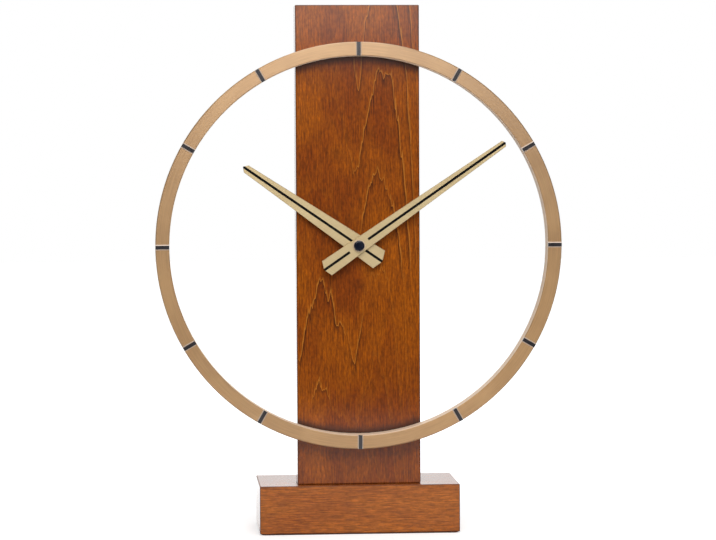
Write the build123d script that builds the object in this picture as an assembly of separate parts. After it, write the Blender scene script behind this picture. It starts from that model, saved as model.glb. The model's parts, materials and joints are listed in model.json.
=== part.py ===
from build123d import *
import math
import os

# A table clock. A wooden board stands on a wooden foot and carries a metal ring dial, two metal hands
# and a quartz movement that is let into the back of the board.
# Sizes are in millimetres and angles in degrees. X runs to the right, Y to the back and Z up.
# The origin is the middle of the felt's underside. Pieces on the dial and in the movement are drawn as
# seen from the front, about the shaft.

# Foot
base_width = 167.0
base_depth = 80.0
base_height = 40.0
base_edge_round = 0.8
felt_thickness = 1.0
felt_inset = 1.5
felt_corner_round = 3.0

# Ring dial
ring_outer_radius = 168.5
ring_radial_width = 11.6
ring_depth = 16.0
ring_edge_bevel = 0.8
marker_count = 12
marker_width = 4.6
marker_edge_bevel = 0.8
marker_proud = 0.8
marker_slot_depth = 2.0
marker_end_gap = 0.1

# Board
column_width = 103.0
column_thickness = 25.0
column_margin = 31.0
column_setback = 10.0
column_edge_round = 0.8
column_web = 6.0
pocket_corner_round = 5.0
pocket_clearance = 1.5

# Fastening of the board on the foot
dowel_radius = 4.0
dowel_length = 30.0
dowel_spacing = 72.0
stand_screw_spacing = 34.0
stand_screw_radius = 2.5
stand_screw_grip = 30.0
stand_screw_sink = 12.0
stand_head_radius = 4.75
stand_head_height = 3.0

# Fastening of the ring on the board
ring_screw_spacing = 60.0
ring_screw_radius = 2.0
ring_screw_grip = 9.0
ring_screw_sink = 3.5
ring_head_radius = 3.5
ring_head_height = 2.6

# Screw heads
driver_slot_width = 0.9
driver_slot_depth_share = 0.45

# Clearances, and how far a cut runs past the face that it opens
screw_clearance = 0.1
head_clearance = 0.3
dowel_clearance = 0.05
running_clearance = 0.04
end_shake = 0.1
seat_gap = 0.1
cut_overrun = 1.0

# Hands: gap from the tip to the ring, lengths of the pointed ends, reach of the tail's shoulders,
# half widths at the shoulders, and how far from the shaft the black lines start
minute_tip_gap = 7.7
minute_tip_point = 1.7
minute_tip_half_width = 2.9
minute_tail_shoulder = 32.5
minute_tail_point = 2.8
minute_tail_half_width = 7.2
hour_tip_gap = 40.6
hour_tip_point = 3.4
hour_tip_half_width = 3.5
hour_tail_shoulder = 20.5
hour_tail_point = 3.4
hour_tail_half_width = 8.9
hand_thickness = 1.0
hand_edge_bevel = 0.3
hand_line_width = 2.1
hand_line_depth = 0.4
minute_line_start = 9.3
hour_line_start = 6.0
hand_gap = 0.4
bush_flange_radius = 5.2
bush_flange_thickness = 0.5
bush_collar_length = 0.8
hour_spigot_radius = 4.0
minute_spigot_radius = 3.4
cap_radius = 4.4
cap_length = 3.0
cap_edge_round = 1.2
cap_grip = 1.2

# Time shown: the hour, and the angle of the minute hand
full_turn = 360.0
rest_hour = 10
minute_rest_angle = 55.3

# Shaft of the movement
shaft_radius = 1.6
pipe_radius = 2.55
bushing_radius = 4.0
bushing_flange_radius = 5.6
bushing_flange_thickness = 0.8
bushing_end_margin = 1.0
washer_radius = 8.0
washer_thickness = 1.0
nut_across_flats = 12.0
nut_thickness = 2.5
hexagon_sides = 6

# Wheels: tooth counts, modules and the common tooth form
cannon_teeth = 12
minute_wheel_teeth = 36
minute_pinion_teeth = 10
hour_wheel_teeth = 40
knob_pinion_teeth = 12
centre_wheel_teeth = 30
third_pinion_teeth = 10
third_wheel_teeth = 60
intermediate_pinion_teeth = 10
intermediate_wheel_teeth = 50
rotor_pinion_teeth = 10
motion_module = 0.4
centre_module = 0.5
third_module = 0.28
rotor_module = 0.25
pressure_angle = 25.0
addendum_share = 0.8
dedendum_share = 1.08
backlash_share = 0.1
flank_steps = 3
wheel_thickness = 1.2
wheel_gap = 0.5
arbor_radius = 0.75
pivot_radius = 0.5
pivot_depth = 1.0
window_count = 4
window_ring_share = 0.58
window_radius_share = 0.2

# Directions from one axis to the next, anticlockwise from the right as seen from the front
minute_wheel_direction = 180.0
knob_direction = 170.0
third_direction = 45.0
intermediate_direction = -5.0
rotor_direction = 100.0

# Stepping motor
magnet_radius = 2.75
magnet_thickness = 2.3
magnet_air_gap = 0.4
stator_thickness = 1.0
stator_half_length = 10.0
stator_half_height = 3.8
stator_arm_width = 3.0
core_rise = 6.9
core_width = 3.0
core_thickness = 1.0
bobbin_tube_radius = 1.9
bobbin_flange_radius = 2.9
bobbin_flange_thickness = 0.8
bobbin_side_gap = 0.3
winding_radius = 2.7

# Circuit board
board_width = 19.0
board_height = 12.0
board_thickness = 1.0
board_wall_gap = 5.3
board_post_spacing = 15.0
chip_size = 5.0
chip_thickness = 1.2
chip_offset = 4.0
crystal_radius = 1.0
crystal_length = 6.0
crystal_offset = 4.5

# Cell and contacts
battery_radius = 7.25
battery_length = 49.5
battery_edge_round = 0.6
battery_nub_radius = 2.75
battery_nub_length = 1.0
battery_play = 0.25
contact_thickness = 0.4
contact_width = 10.0
contact_spring_room = 2.3
contact_touch_gap = 0.05

# Movement case
case_wall = 1.2
case_floor = 1.5
case_depth = 15.5
case_corner_round = 2.5
chamber_gap = 2.6
cover_thickness = 1.5
post_radius = 1.0
post_gap = 0.4
cover_post_radius = 2.0
cover_post_inset = 2.5
cover_screw_radius = 0.8
cover_screw_grip = 4.0
cover_head_radius = 1.5
cover_head_height = 0.9

# Setting knob
knob_radius = 5.5
knob_thickness = 2.5
knob_shaft_radius = 1.5
knob_stand_off = 0.3
knob_notch_count = 18
knob_notch_radius = 0.5

# Planes and centres worked out from the sizes
base_top_z = felt_thickness + base_height
stand_screw_seat_z = felt_thickness + stand_screw_sink
column_height = 2 * (ring_outer_radius + column_margin)
column_front_y = column_setback - base_depth / 2
column_back_y = column_front_y + column_thickness
column_middle_y = (column_front_y + column_back_y) / 2
dial_z = base_top_z + column_height / 2
ring_inner_radius = ring_outer_radius - ring_radial_width
ring_middle_radius = ring_outer_radius - ring_radial_width / 2
ring_front_y = column_front_y - ring_depth
hour_rest_angle = (rest_hour + minute_rest_angle / full_turn) * full_turn / marker_count
minute_tip_reach = ring_inner_radius - minute_tip_gap
minute_tip_shoulder = minute_tip_reach - minute_tip_point
minute_tail_reach = minute_tail_shoulder + minute_tail_point
hour_tip_reach = ring_inner_radius - hour_tip_gap
hour_tip_shoulder = hour_tip_reach - hour_tip_point
hour_tail_reach = hour_tail_shoulder + hour_tail_point

# Depths along the shaft, from the pocket's floor to the back of the movement
pocket_floor_y = column_front_y + column_web
case_front_y = pocket_floor_y
case_back_y = case_front_y + case_depth
floor_y = case_front_y + case_floor
cover_back_y = case_back_y
cover_front_y = cover_back_y - cover_thickness
front_pivot_end_y = floor_y - pivot_depth + end_shake
rear_pivot_end_y = cover_front_y + pivot_depth - end_shake

# Depths along the shaft, from the board's face to the cap
washer_front_y = column_front_y - washer_thickness
nut_front_y = washer_front_y - nut_thickness
bushing_front_y = nut_front_y - bushing_end_margin
hour_bush_back_y = bushing_front_y - hand_gap
hour_plate_back_y = hour_bush_back_y - bush_collar_length
hour_plate_front_y = hour_plate_back_y - hand_thickness
hour_bush_front_y = hour_plate_front_y - bush_flange_thickness
minute_bush_back_y = hour_bush_front_y - hand_gap
minute_plate_back_y = minute_bush_back_y - bush_collar_length
minute_plate_front_y = minute_plate_back_y - hand_thickness
minute_bush_front_y = minute_plate_front_y - bush_flange_thickness
shaft_front_y = minute_bush_front_y - cap_grip
cap_front_y = minute_bush_front_y - cap_length


def polar(start, distance, direction):
    """The point at a distance and direction from another, as seen from the front."""
    turn = math.radians(direction)
    return (start[0] + distance * math.cos(turn), start[1] + distance * math.sin(turn))


def centre_distance(module, teeth, other_teeth):
    return module * (teeth + other_teeth) / 2


def tip_radius(module, teeth):
    return module * (teeth / 2 + addendum_share)


# Axes of the wheels
shaft_place = (0, 0)
motion_distance = centre_distance(motion_module, cannon_teeth, minute_wheel_teeth)
hour_module = 2 * motion_distance / (minute_pinion_teeth + hour_wheel_teeth)
knob_distance = centre_distance(motion_module, minute_wheel_teeth, knob_pinion_teeth)
third_distance = centre_distance(centre_module, centre_wheel_teeth, third_pinion_teeth)
intermediate_distance = centre_distance(third_module, third_wheel_teeth, intermediate_pinion_teeth)
rotor_distance = centre_distance(rotor_module, intermediate_wheel_teeth, rotor_pinion_teeth)
minute_wheel_place = polar(shaft_place, motion_distance, minute_wheel_direction)
knob_place = polar(minute_wheel_place, knob_distance, knob_direction)
third_place = polar(shaft_place, third_distance, third_direction)
intermediate_place = polar(third_place, intermediate_distance, intermediate_direction)
rotor_place = polar(intermediate_place, rotor_distance, rotor_direction)

# Stepping motor, placed about the rotor
core_z = rotor_place[1] + core_rise
stator_left_x = rotor_place[0] - stator_half_length
stator_right_x = rotor_place[0] + stator_half_length
stator_post_z = core_z - core_width / 2 - post_radius - post_gap

# Inside of the case: as wide as the cell or the train needs
cell_room = battery_length + battery_nub_length + contact_spring_room + 2 * contact_thickness
train_left = knob_place[0] - tip_radius(motion_module, knob_pinion_teeth) - post_gap
train_right = stator_right_x + post_gap
inside_half_width = max(cell_room / 2, -train_left, train_right)
chamber_reach = max(
    tip_radius(hour_module, hour_wheel_teeth),
    tip_radius(centre_module, centre_wheel_teeth),
    tip_radius(motion_module, minute_wheel_teeth),
)
chamber_bottom_z = -chamber_reach - chamber_gap
cover_post_reach = cover_post_radius + cover_post_inset
chamber_top_z = core_z + max(bobbin_flange_radius, core_width / 2 + cover_post_reach) + post_gap
chamber_middle_z = (chamber_top_z + chamber_bottom_z) / 2
chamber_height = chamber_top_z - chamber_bottom_z
bay_top_z = chamber_bottom_z - case_wall
bay_height = 2 * (battery_radius + battery_play)
bay_bottom_z = bay_top_z - bay_height
bay_middle_z = (bay_top_z + bay_bottom_z) / 2
case_width = 2 * (inside_half_width + case_wall)
case_height = chamber_top_z - bay_bottom_z + 2 * case_wall
case_middle_z = (chamber_top_z + bay_bottom_z) / 2
board_middle_x = board_wall_gap + board_width / 2 - inside_half_width
board_middle_z = chamber_top_z - cover_post_inset - board_height / 2

# Places of what repeats
side_signs = (-1, 1)
ring_screw_rise = math.sqrt(ring_middle_radius**2 - (ring_screw_spacing / 2) ** 2)
ring_screw_places = [
    (across * ring_screw_spacing / 2, up * ring_screw_rise) for across in side_signs for up in side_signs
]
cover_screw_places = [
    (across * (inside_half_width - cover_post_inset), z)
    for across in side_signs
    for z in (chamber_bottom_z + cover_post_inset, chamber_top_z - cover_post_inset)
]
stator_post_places = [
    (stator_left_x + stator_arm_width / 2, stator_post_z),
    (stator_right_x - stator_arm_width / 2, stator_post_z),
]
board_post_places = [
    (board_middle_x + across * board_post_spacing / 2, board_middle_z) for across in side_signs
]
pivot_places = [minute_wheel_place, third_place, intermediate_place, rotor_place]


def from_front(sketch, back_y, front_y):
    """A sketch as seen from the front, given depth from its back to its front."""
    plane = Plane(origin=(0, back_y, dial_z), x_dir=(1, 0, 0), z_dir=(0, -1, 0))
    return extrude(plane * sketch, back_y - front_y)


def rod(radius, place, back_y, front_y):
    """A cylinder along the shaft's direction."""
    return from_front(Pos(*place) * Circle(radius), back_y, front_y)


def upright(radius, x, y, bottom_z, top_z):
    """A standing cylinder."""
    return extrude(Pos(x, y, bottom_z) * Circle(radius), top_z - bottom_z)


def lying(radius, left_x, right_x, y, z):
    """A cylinder along X; z is measured from the shaft."""
    plane = Plane(origin=(left_x, y, dial_z + z), x_dir=(0, 1, 0), z_dir=(1, 0, 0))
    return extrude(plane * Circle(radius), right_x - left_x)


def turned(shape, angle):
    """A shape turned clockwise about the shaft, as seen from the front."""
    return shape.rotate(Axis((0, 0, dial_z), (0, 1, 0)), angle)


def level_front_y(level):
    """Front of a level of wheels; level 0 is next to the case's floor."""
    return floor_y + wheel_gap + level * (wheel_thickness + wheel_gap)


def level_back_y(level):
    return level_front_y(level) + wheel_thickness


def involute(angle):
    return math.tan(angle) - angle


def gear_sketch(teeth, module, phase):
    """An involute gear outline with one tooth centred on the phase, in radians."""
    pitch = module * teeth / 2
    pressure = math.radians(pressure_angle)
    base = pitch * math.cos(pressure)
    tip = tip_radius(module, teeth)
    root = pitch - dedendum_share * module
    start = max(root, base)
    half_at_pitch = (math.pi / 2 - backlash_share) / teeth
    flank = []
    for step in range(flank_steps + 1):
        radius = start + (tip - start) * step / flank_steps
        roll = math.acos(base / radius)
        flank.append((radius, half_at_pitch + involute(pressure) - involute(roll)))
    if root < base:
        flank.insert(0, (root, flank[0][1]))
    points = []
    for tooth in range(teeth):
        middle = phase + 2 * math.pi * tooth / teeth
        sides = [(radius, middle - half) for radius, half in flank]
        sides += [(radius, middle + half) for radius, half in reversed(flank)]
        points += [(radius * math.cos(turn), radius * math.sin(turn)) for radius, turn in sides]
    return Polygon(*points, align=None)


def meshing_phase(teeth, phase, other_teeth, direction):
    """Phase of a gear whose gaps take the teeth of the first gear, in the given direction from it."""
    turn = math.radians(direction)
    share = (turn - phase) * teeth / (2 * math.pi)
    return turn + math.pi - (0.5 - share) * 2 * math.pi / other_teeth


def gear(teeth, module, phase, place, level):
    outline = Pos(*place) * gear_sketch(teeth, module, phase)
    return from_front(outline, level_back_y(level), level_front_y(level))


def lightening(teeth, module, place, level):
    """The round windows in a wheel's web."""
    pitch = module * teeth / 2
    windows = [
        rod(
            window_radius_share * pitch,
            polar(place, window_ring_share * pitch, full_turn * number / window_count),
            level_back_y(level) + cut_overrun,
            level_front_y(level) - cut_overrun,
        )
        for number in range(window_count)
    ]
    return Part() + windows


def arbor(place):
    """A wheel's axle, with a pivot at each end for the case's floor and the cover."""
    body = rod(arbor_radius, place, cover_front_y - end_shake, floor_y + end_shake)
    pivots = rod(pivot_radius, place, rear_pivot_end_y, front_pivot_end_y)
    return body + pivots


def pivot_hole(place, face_y, inward):
    """A blind bearing; inward is 1 towards the back and -1 towards the front."""
    ends = (face_y - inward * cut_overrun, face_y + inward * pivot_depth)
    return rod(pivot_radius + running_clearance, place, max(ends), min(ends))


def make_base_block():
    block = Pos(0, 0, felt_thickness + base_height / 2) * Box(base_width, base_depth, base_height)
    block = fillet(block.edges(), base_edge_round)
    for side in side_signs:
        x = side * stand_screw_spacing / 2
        bottom = felt_thickness - cut_overrun
        top = base_top_z + cut_overrun
        block -= upright(stand_screw_radius + screw_clearance, x, column_middle_y, bottom, top)
        head = stand_head_radius + head_clearance
        block -= upright(head, x, column_middle_y, bottom, stand_screw_seat_z)
        dowel = dowel_radius + dowel_clearance
        x = side * dowel_spacing / 2
        block -= upright(dowel, x, column_middle_y, base_top_z - dowel_length / 2 - seat_gap, top)
    return block


def make_base_felt():
    sheet = RectangleRounded(base_width - 2 * felt_inset, base_depth - 2 * felt_inset, felt_corner_round)
    return extrude(sheet, felt_thickness)


def make_column():
    middle = Pos(0, column_middle_y, base_top_z + column_height / 2)
    board = middle * Box(column_width, column_thickness, column_height)
    board = fillet(board.edges(), column_edge_round)
    pocket = RectangleRounded(
        case_width + 2 * pocket_clearance, case_height + 2 * pocket_clearance, pocket_corner_round
    )
    board -= from_front(Pos(0, case_middle_z) * pocket, column_back_y + cut_overrun, pocket_floor_y)
    board -= rod(
        bushing_radius + screw_clearance, shaft_place, column_back_y, column_front_y - cut_overrun
    )
    for place in ring_screw_places:
        back = column_back_y + cut_overrun
        board -= rod(ring_screw_radius + screw_clearance, place, back, column_front_y - cut_overrun)
        board -= rod(ring_head_radius + head_clearance, place, back, column_back_y - ring_screw_sink)
    for side in side_signs:
        bottom = base_top_z - cut_overrun
        x = side * stand_screw_spacing / 2
        hole = stand_screw_radius + screw_clearance
        board -= upright(hole, x, column_middle_y, bottom, base_top_z + stand_screw_grip + seat_gap)
        x = side * dowel_spacing / 2
        hole = dowel_radius + dowel_clearance
        board -= upright(hole, x, column_middle_y, bottom, base_top_z + dowel_length / 2 + seat_gap)
    return board


def make_column_dowels():
    half = dowel_length / 2
    return [
        upright(dowel_radius, side * dowel_spacing / 2, column_middle_y, base_top_z - half, base_top_z + half)
        for side in side_signs
    ]


def make_column_screws():
    screws = []
    for side in side_signs:
        x = side * stand_screw_spacing / 2
        bottom = stand_screw_seat_z - stand_head_height
        screw = upright(stand_head_radius, x, column_middle_y, bottom, stand_screw_seat_z)
        tip = base_top_z + stand_screw_grip
        screw += upright(stand_screw_radius, x, column_middle_y, stand_screw_seat_z, tip)
        depth = driver_slot_depth_share * stand_head_height
        slot = Pos(x, column_middle_y, bottom) * Box(2 * stand_head_radius, driver_slot_width, 2 * depth)
        screws.append(screw - slot)
    return screws


def slot_section():
    """Section of a marker's slot, seen along the ring's radius."""
    depth = marker_slot_depth + cut_overrun
    return Pos(0, ring_front_y + marker_slot_depth - depth / 2) * Rectangle(marker_width, depth)


def marker_section():
    """Section of a marker, whose bevelled edges stand proud of the ring's face."""
    half = marker_width / 2
    floor_corner = (-half, ring_front_y + marker_slot_depth)
    face_corner = (-half, ring_front_y)
    front_corner = (marker_edge_bevel - half, ring_front_y - marker_proud)
    left = [floor_corner, face_corner, front_corner]
    right = [(-x, y) for x, y in reversed(left)]
    return Polygon(*left, *right, align=None)


def along_radius(sketch, start, end):
    """A section carried outwards along the twelve o'clock radius."""
    return extrude(Pos(0, 0, dial_z + start) * sketch, end - start)


def make_dial_ring():
    ring = from_front(Circle(ring_outer_radius) - Circle(ring_inner_radius), column_front_y, ring_front_y)
    ring = chamfer(ring.edges().filter_by(GeomType.CIRCLE), ring_edge_bevel)
    slot = along_radius(slot_section(), ring_inner_radius - cut_overrun, ring_outer_radius + cut_overrun)
    for number in range(marker_count):
        ring -= turned(slot, full_turn * number / marker_count)
    for place in ring_screw_places:
        depth = ring_screw_grip + seat_gap
        hole = ring_screw_radius + screw_clearance
        ring -= rod(hole, place, column_front_y + cut_overrun, column_front_y - depth)
    return ring


def make_hour_marker(number):
    bar = along_radius(
        marker_section(), ring_inner_radius + marker_end_gap, ring_outer_radius - marker_end_gap
    )
    return turned(bar, full_turn * number / marker_count)


def make_ring_screws():
    screws = []
    seat = column_back_y - ring_screw_sink
    back = seat + ring_head_height
    depth = driver_slot_depth_share * ring_head_height
    for place in ring_screw_places:
        screw = rod(ring_head_radius, place, back, seat)
        screw += rod(ring_screw_radius, place, seat, column_front_y - ring_screw_grip)
        slot = Rectangle(2 * ring_head_radius, driver_slot_width)
        screw -= from_front(Pos(*place) * slot, back + cut_overrun, back - depth)
        screws.append(screw)
    return screws


def make_hand(tip, tail, line_start, back_y, spigot_radius, angle):
    """A tapered plate and the two black lines in its face; tip and tail are (reach, shoulder, half width)."""
    front_y = back_y - hand_thickness
    tip_reach, tip_shoulder, tip_half = tip
    tail_reach, tail_shoulder, tail_half = tail
    outline = Polygon(
        (0, tip_reach),
        (-tip_half, tip_shoulder),
        (-tail_half, -tail_shoulder),
        (0, -tail_reach),
        (tail_half, -tail_shoulder),
        (tip_half, tip_shoulder),
        align=None,
    )
    body = from_front(outline, back_y, front_y)
    body = chamfer(body.faces().sort_by(Axis.Y)[0].edges(), hand_edge_bevel)
    grooves = []
    for start, end in ((line_start, tip_reach), (-tail_reach, -line_start)):
        groove = Pos(0, (start + end) / 2) * Rectangle(hand_line_width, end - start)
        grooves.append(from_front(groove, front_y + hand_line_depth, front_y - cut_overrun))
    lines = [turned(body & groove, angle) for groove in grooves]
    plate = body - rod(spigot_radius, shaft_place, back_y + cut_overrun, front_y - cut_overrun)
    for groove in grooves:
        plate -= groove
    return turned(plate, angle), lines


def make_hand_bush(back_y, front_y, spigot_radius, bore_radius):
    """A collet: a spigot through the plate, with a flange on the plate's face."""
    flange_back_y = front_y + bush_flange_thickness
    bush = rod(spigot_radius, shaft_place, back_y, flange_back_y)
    bush += rod(bush_flange_radius, shaft_place, flange_back_y, front_y)
    return bush - rod(bore_radius, shaft_place, back_y + cut_overrun, front_y - cut_overrun)


def make_hand_cap():
    cap = rod(cap_radius, shaft_place, minute_bush_front_y, cap_front_y)
    cap = fillet(cap.faces().sort_by(Axis.Y)[0].edges(), cap_edge_round)
    return cap - rod(shaft_radius, shaft_place, minute_bush_front_y + cut_overrun, shaft_front_y)


def make_centre_bushing():
    bushing = rod(bushing_flange_radius, shaft_place, floor_y, floor_y - bushing_flange_thickness)
    bushing += rod(bushing_radius, shaft_place, floor_y, bushing_front_y)
    bore = pipe_radius + running_clearance
    return bushing - rod(bore, shaft_place, floor_y + cut_overrun, bushing_front_y - cut_overrun)


def make_bushing_washer():
    return from_front(
        Circle(washer_radius) - Circle(bushing_radius + screw_clearance), column_front_y, washer_front_y
    )


def make_bushing_nut():
    hexagon = RegularPolygon(nut_across_flats / 2, hexagon_sides, major_radius=False)
    return from_front(hexagon - Circle(bushing_radius + dowel_clearance), washer_front_y, nut_front_y)


cannon_phase = 0
minute_wheel_phase = meshing_phase(cannon_teeth, cannon_phase, minute_wheel_teeth, minute_wheel_direction)
knob_phase = meshing_phase(minute_wheel_teeth, minute_wheel_phase, knob_pinion_teeth, knob_direction)
minute_pinion_phase = 0
hour_phase = meshing_phase(
    minute_pinion_teeth, minute_pinion_phase, hour_wheel_teeth, minute_wheel_direction + full_turn / 2
)
centre_phase = 0
third_pinion_phase = meshing_phase(centre_wheel_teeth, centre_phase, third_pinion_teeth, third_direction)
third_phase = 0
intermediate_pinion_phase = meshing_phase(
    third_wheel_teeth, third_phase, intermediate_pinion_teeth, intermediate_direction
)
intermediate_phase = 0
rotor_phase = meshing_phase(
    intermediate_wheel_teeth, intermediate_phase, rotor_pinion_teeth, rotor_direction
)

# Levels of the wheels, from the case's floor backwards
hour_level = 0
motion_level = 1
centre_level = 2
third_level = 3
intermediate_level = 4
magnet_level = 5
stator_front_y = level_front_y(magnet_level)
stator_back_y = stator_front_y + stator_thickness
core_front_y = stator_front_y - core_thickness
core_middle_y = stator_front_y - core_thickness / 2


def make_hour_wheel():
    wheel = gear(hour_wheel_teeth, hour_module, hour_phase, shaft_place, hour_level)
    back = level_back_y(hour_level)
    wheel += rod(pipe_radius, shaft_place, back, hour_bush_front_y)
    bore = shaft_radius + running_clearance
    return wheel - rod(bore, shaft_place, back + cut_overrun, hour_bush_front_y - cut_overrun)


def make_minute_arbor():
    whole = rod(shaft_radius, shaft_place, level_back_y(centre_level), shaft_front_y)
    whole += rod(arbor_radius, shaft_place, cover_front_y - end_shake, level_back_y(centre_level))
    whole += rod(pivot_radius, shaft_place, rear_pivot_end_y, level_back_y(centre_level))
    whole += gear(cannon_teeth, motion_module, cannon_phase, shaft_place, motion_level)
    return whole + gear(centre_wheel_teeth, centre_module, centre_phase, shaft_place, centre_level)


def make_compound(place, pinion, wheel):
    """Axle, pinion and wheel in one; pinion and wheel are (teeth, module, phase, level)."""
    whole = arbor(place)
    for teeth, module, phase, level in (pinion, wheel):
        whole += gear(teeth, module, phase, place, level)
    teeth, module, phase, level = wheel
    return whole - lightening(teeth, module, place, level)


def make_minute_wheel():
    return make_compound(
        minute_wheel_place,
        (minute_pinion_teeth, hour_module, minute_pinion_phase, hour_level),
        (minute_wheel_teeth, motion_module, minute_wheel_phase, motion_level),
    )


def make_third_wheel():
    return make_compound(
        third_place,
        (third_pinion_teeth, centre_module, third_pinion_phase, centre_level),
        (third_wheel_teeth, third_module, third_phase, third_level),
    )


def make_intermediate_wheel():
    return make_compound(
        intermediate_place,
        (intermediate_pinion_teeth, third_module, intermediate_pinion_phase, third_level),
        (intermediate_wheel_teeth, rotor_module, intermediate_phase, intermediate_level),
    )


def make_rotor_pinion():
    return arbor(rotor_place) + gear(
        rotor_pinion_teeth, rotor_module, rotor_phase, rotor_place, intermediate_level
    )


def make_rotor_magnet():
    ring = Circle(magnet_radius) - Circle(arbor_radius)
    return from_front(Pos(*rotor_place) * ring, stator_front_y + magnet_thickness, stator_front_y)


def make_stator():
    x, z = rotor_place
    bar = Pos(x, z) * Rectangle(2 * stator_half_length, 2 * stator_half_height)
    arm_top = core_z + core_width / 2
    arm_height = arm_top - z
    for side in side_signs:
        arm_x = x + side * (stator_half_length - stator_arm_width / 2)
        bar += Pos(arm_x, z + arm_height / 2) * Rectangle(stator_arm_width, arm_height)
    bar -= Pos(x, z) * Circle(magnet_radius + magnet_air_gap)
    return from_front(bar, stator_back_y, stator_front_y)


def make_coil_core():
    core = Pos(rotor_place[0], core_z) * Rectangle(2 * stator_half_length, core_width)
    return from_front(core, stator_front_y, core_front_y)


bobbin_half_length = stator_half_length - stator_arm_width - bobbin_side_gap
bobbin_left_x = rotor_place[0] - bobbin_half_length
bobbin_right_x = rotor_place[0] + bobbin_half_length


def make_coil_bobbin():
    spool = lying(bobbin_tube_radius, bobbin_left_x, bobbin_right_x, core_middle_y, core_z)
    for left in (bobbin_left_x, bobbin_right_x - bobbin_flange_thickness):
        spool += lying(bobbin_flange_radius, left, left + bobbin_flange_thickness, core_middle_y, core_z)
    return spool - make_coil_core()


def make_coil_winding():
    left = bobbin_left_x + bobbin_flange_thickness
    right = bobbin_right_x - bobbin_flange_thickness
    winding = lying(winding_radius, left, right, core_middle_y, core_z)
    return winding - lying(bobbin_tube_radius, left, right, core_middle_y, core_z)


board_front_y = stator_front_y
board_back_y = board_front_y + board_thickness


def make_circuit_board():
    board = Pos(board_middle_x, board_middle_z) * Rectangle(board_width, board_height)
    return from_front(board, board_back_y, board_front_y)


def make_clock_chip():
    chip = Pos(board_middle_x - chip_offset, board_middle_z) * Rectangle(chip_size, chip_size)
    return from_front(chip, board_back_y + chip_thickness, board_back_y)


def make_quartz_crystal():
    middle = board_middle_x + crystal_offset
    half = crystal_length / 2
    return lying(crystal_radius, middle - half, middle + half, board_back_y + crystal_radius, board_middle_z)


battery_y = floor_y + battery_radius + seat_gap
battery_nub_x = contact_thickness + contact_touch_gap - inside_half_width
battery_left_x = battery_nub_x + battery_nub_length
battery_right_x = battery_left_x + battery_length


def make_battery():
    cell = lying(battery_radius, battery_left_x, battery_right_x, battery_y, bay_middle_z)
    cell = fillet(cell.edges().filter_by(GeomType.CIRCLE), battery_edge_round)
    return cell + lying(battery_nub_radius, battery_nub_x, battery_left_x, battery_y, bay_middle_z)


def contact_plate(left_x):
    plate = Pos(left_x + contact_thickness / 2, bay_middle_z) * Rectangle(contact_thickness, contact_width)
    return from_front(plate, battery_y + contact_width / 2, floor_y)


def make_contact_positive():
    return contact_plate(-inside_half_width)


def make_contact_negative():
    """A plate on the wall of the bay, with a bowed leaf that presses on the cell."""
    wall_x = inside_half_width - contact_thickness
    touch_x = battery_right_x + contact_touch_gap
    half = contact_width / 2
    leaf = Polygon(
        (wall_x, half),
        (touch_x, contact_thickness),
        (touch_x, -contact_thickness),
        (wall_x, -half),
        (wall_x, contact_thickness - half),
        (touch_x + contact_thickness, -contact_thickness),
        (touch_x + contact_thickness, contact_thickness),
        (wall_x, half - contact_thickness),
        align=None,
    )
    quarter = contact_width / 4
    bow = from_front(Pos(0, bay_middle_z) * leaf, battery_y + quarter, battery_y - quarter)
    return contact_plate(wall_x) + bow


def make_movement_case():
    outline = Pos(0, case_middle_z) * RectangleRounded(case_width, case_height, case_corner_round)
    case = from_front(outline, case_back_y, case_front_y)
    for middle_z, height in ((chamber_middle_z, chamber_height), (bay_middle_z, bay_height)):
        room = Pos(0, middle_z) * Rectangle(2 * inside_half_width, height)
        case -= from_front(room, case_back_y + cut_overrun, floor_y)
    for place in cover_screw_places:
        case += rod(cover_post_radius, place, cover_front_y, floor_y)
        case -= rod(
            cover_screw_radius + screw_clearance,
            place,
            cover_front_y + cut_overrun,
            cover_front_y - cover_screw_grip - seat_gap,
        )
    for place in stator_post_places + board_post_places:
        case += rod(post_radius, place, stator_front_y, floor_y)
    for place in pivot_places + [knob_place]:
        case -= pivot_hole(place, floor_y, -1)
    flange_front_y = floor_y - bushing_flange_thickness
    case -= rod(bushing_flange_radius, shaft_place, floor_y + cut_overrun, flange_front_y)
    return case - rod(bushing_radius, shaft_place, floor_y, case_front_y - cut_overrun)


def make_movement_cover():
    sheet = Rectangle(2 * (inside_half_width - seat_gap), chamber_height - 2 * seat_gap)
    cover = from_front(Pos(0, chamber_middle_z) * sheet, cover_back_y, cover_front_y)
    for place in pivot_places + [shaft_place]:
        cover -= pivot_hole(place, cover_front_y, 1)
    back = cover_back_y + cut_overrun
    front = cover_front_y - cut_overrun
    cover -= rod(knob_shaft_radius + running_clearance, knob_place, back, front)
    for place in cover_screw_places:
        cover -= rod(cover_screw_radius + screw_clearance, place, back, front)
    return cover


def make_cover_screws():
    screws = []
    back = cover_back_y + cover_head_height
    depth = driver_slot_depth_share * cover_head_height
    for place in cover_screw_places:
        screw = rod(cover_head_radius, place, back, cover_back_y)
        screw += rod(cover_screw_radius, place, cover_back_y, cover_front_y - cover_screw_grip)
        slot = Rectangle(2 * cover_head_radius, cover_screw_radius / 2)
        screws.append(screw - from_front(Pos(*place) * slot, back + cut_overrun, back - depth))
    return screws


def make_set_knob():
    front = cover_back_y + knob_stand_off
    back = front + knob_thickness
    knob = rod(knob_radius, knob_place, back, front)
    for number in range(knob_notch_count):
        notch = polar(knob_place, knob_radius, full_turn * number / knob_notch_count)
        knob -= rod(knob_notch_radius, notch, back + cut_overrun, front - cut_overrun)
    knob += rod(knob_shaft_radius, knob_place, front, level_back_y(motion_level))
    knob += rod(arbor_radius, knob_place, level_back_y(motion_level), floor_y + end_shake)
    knob += rod(pivot_radius, knob_place, level_back_y(motion_level), front_pivot_end_y)
    return knob + gear(knob_pinion_teeth, motion_module, knob_phase, knob_place, motion_level)


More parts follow.
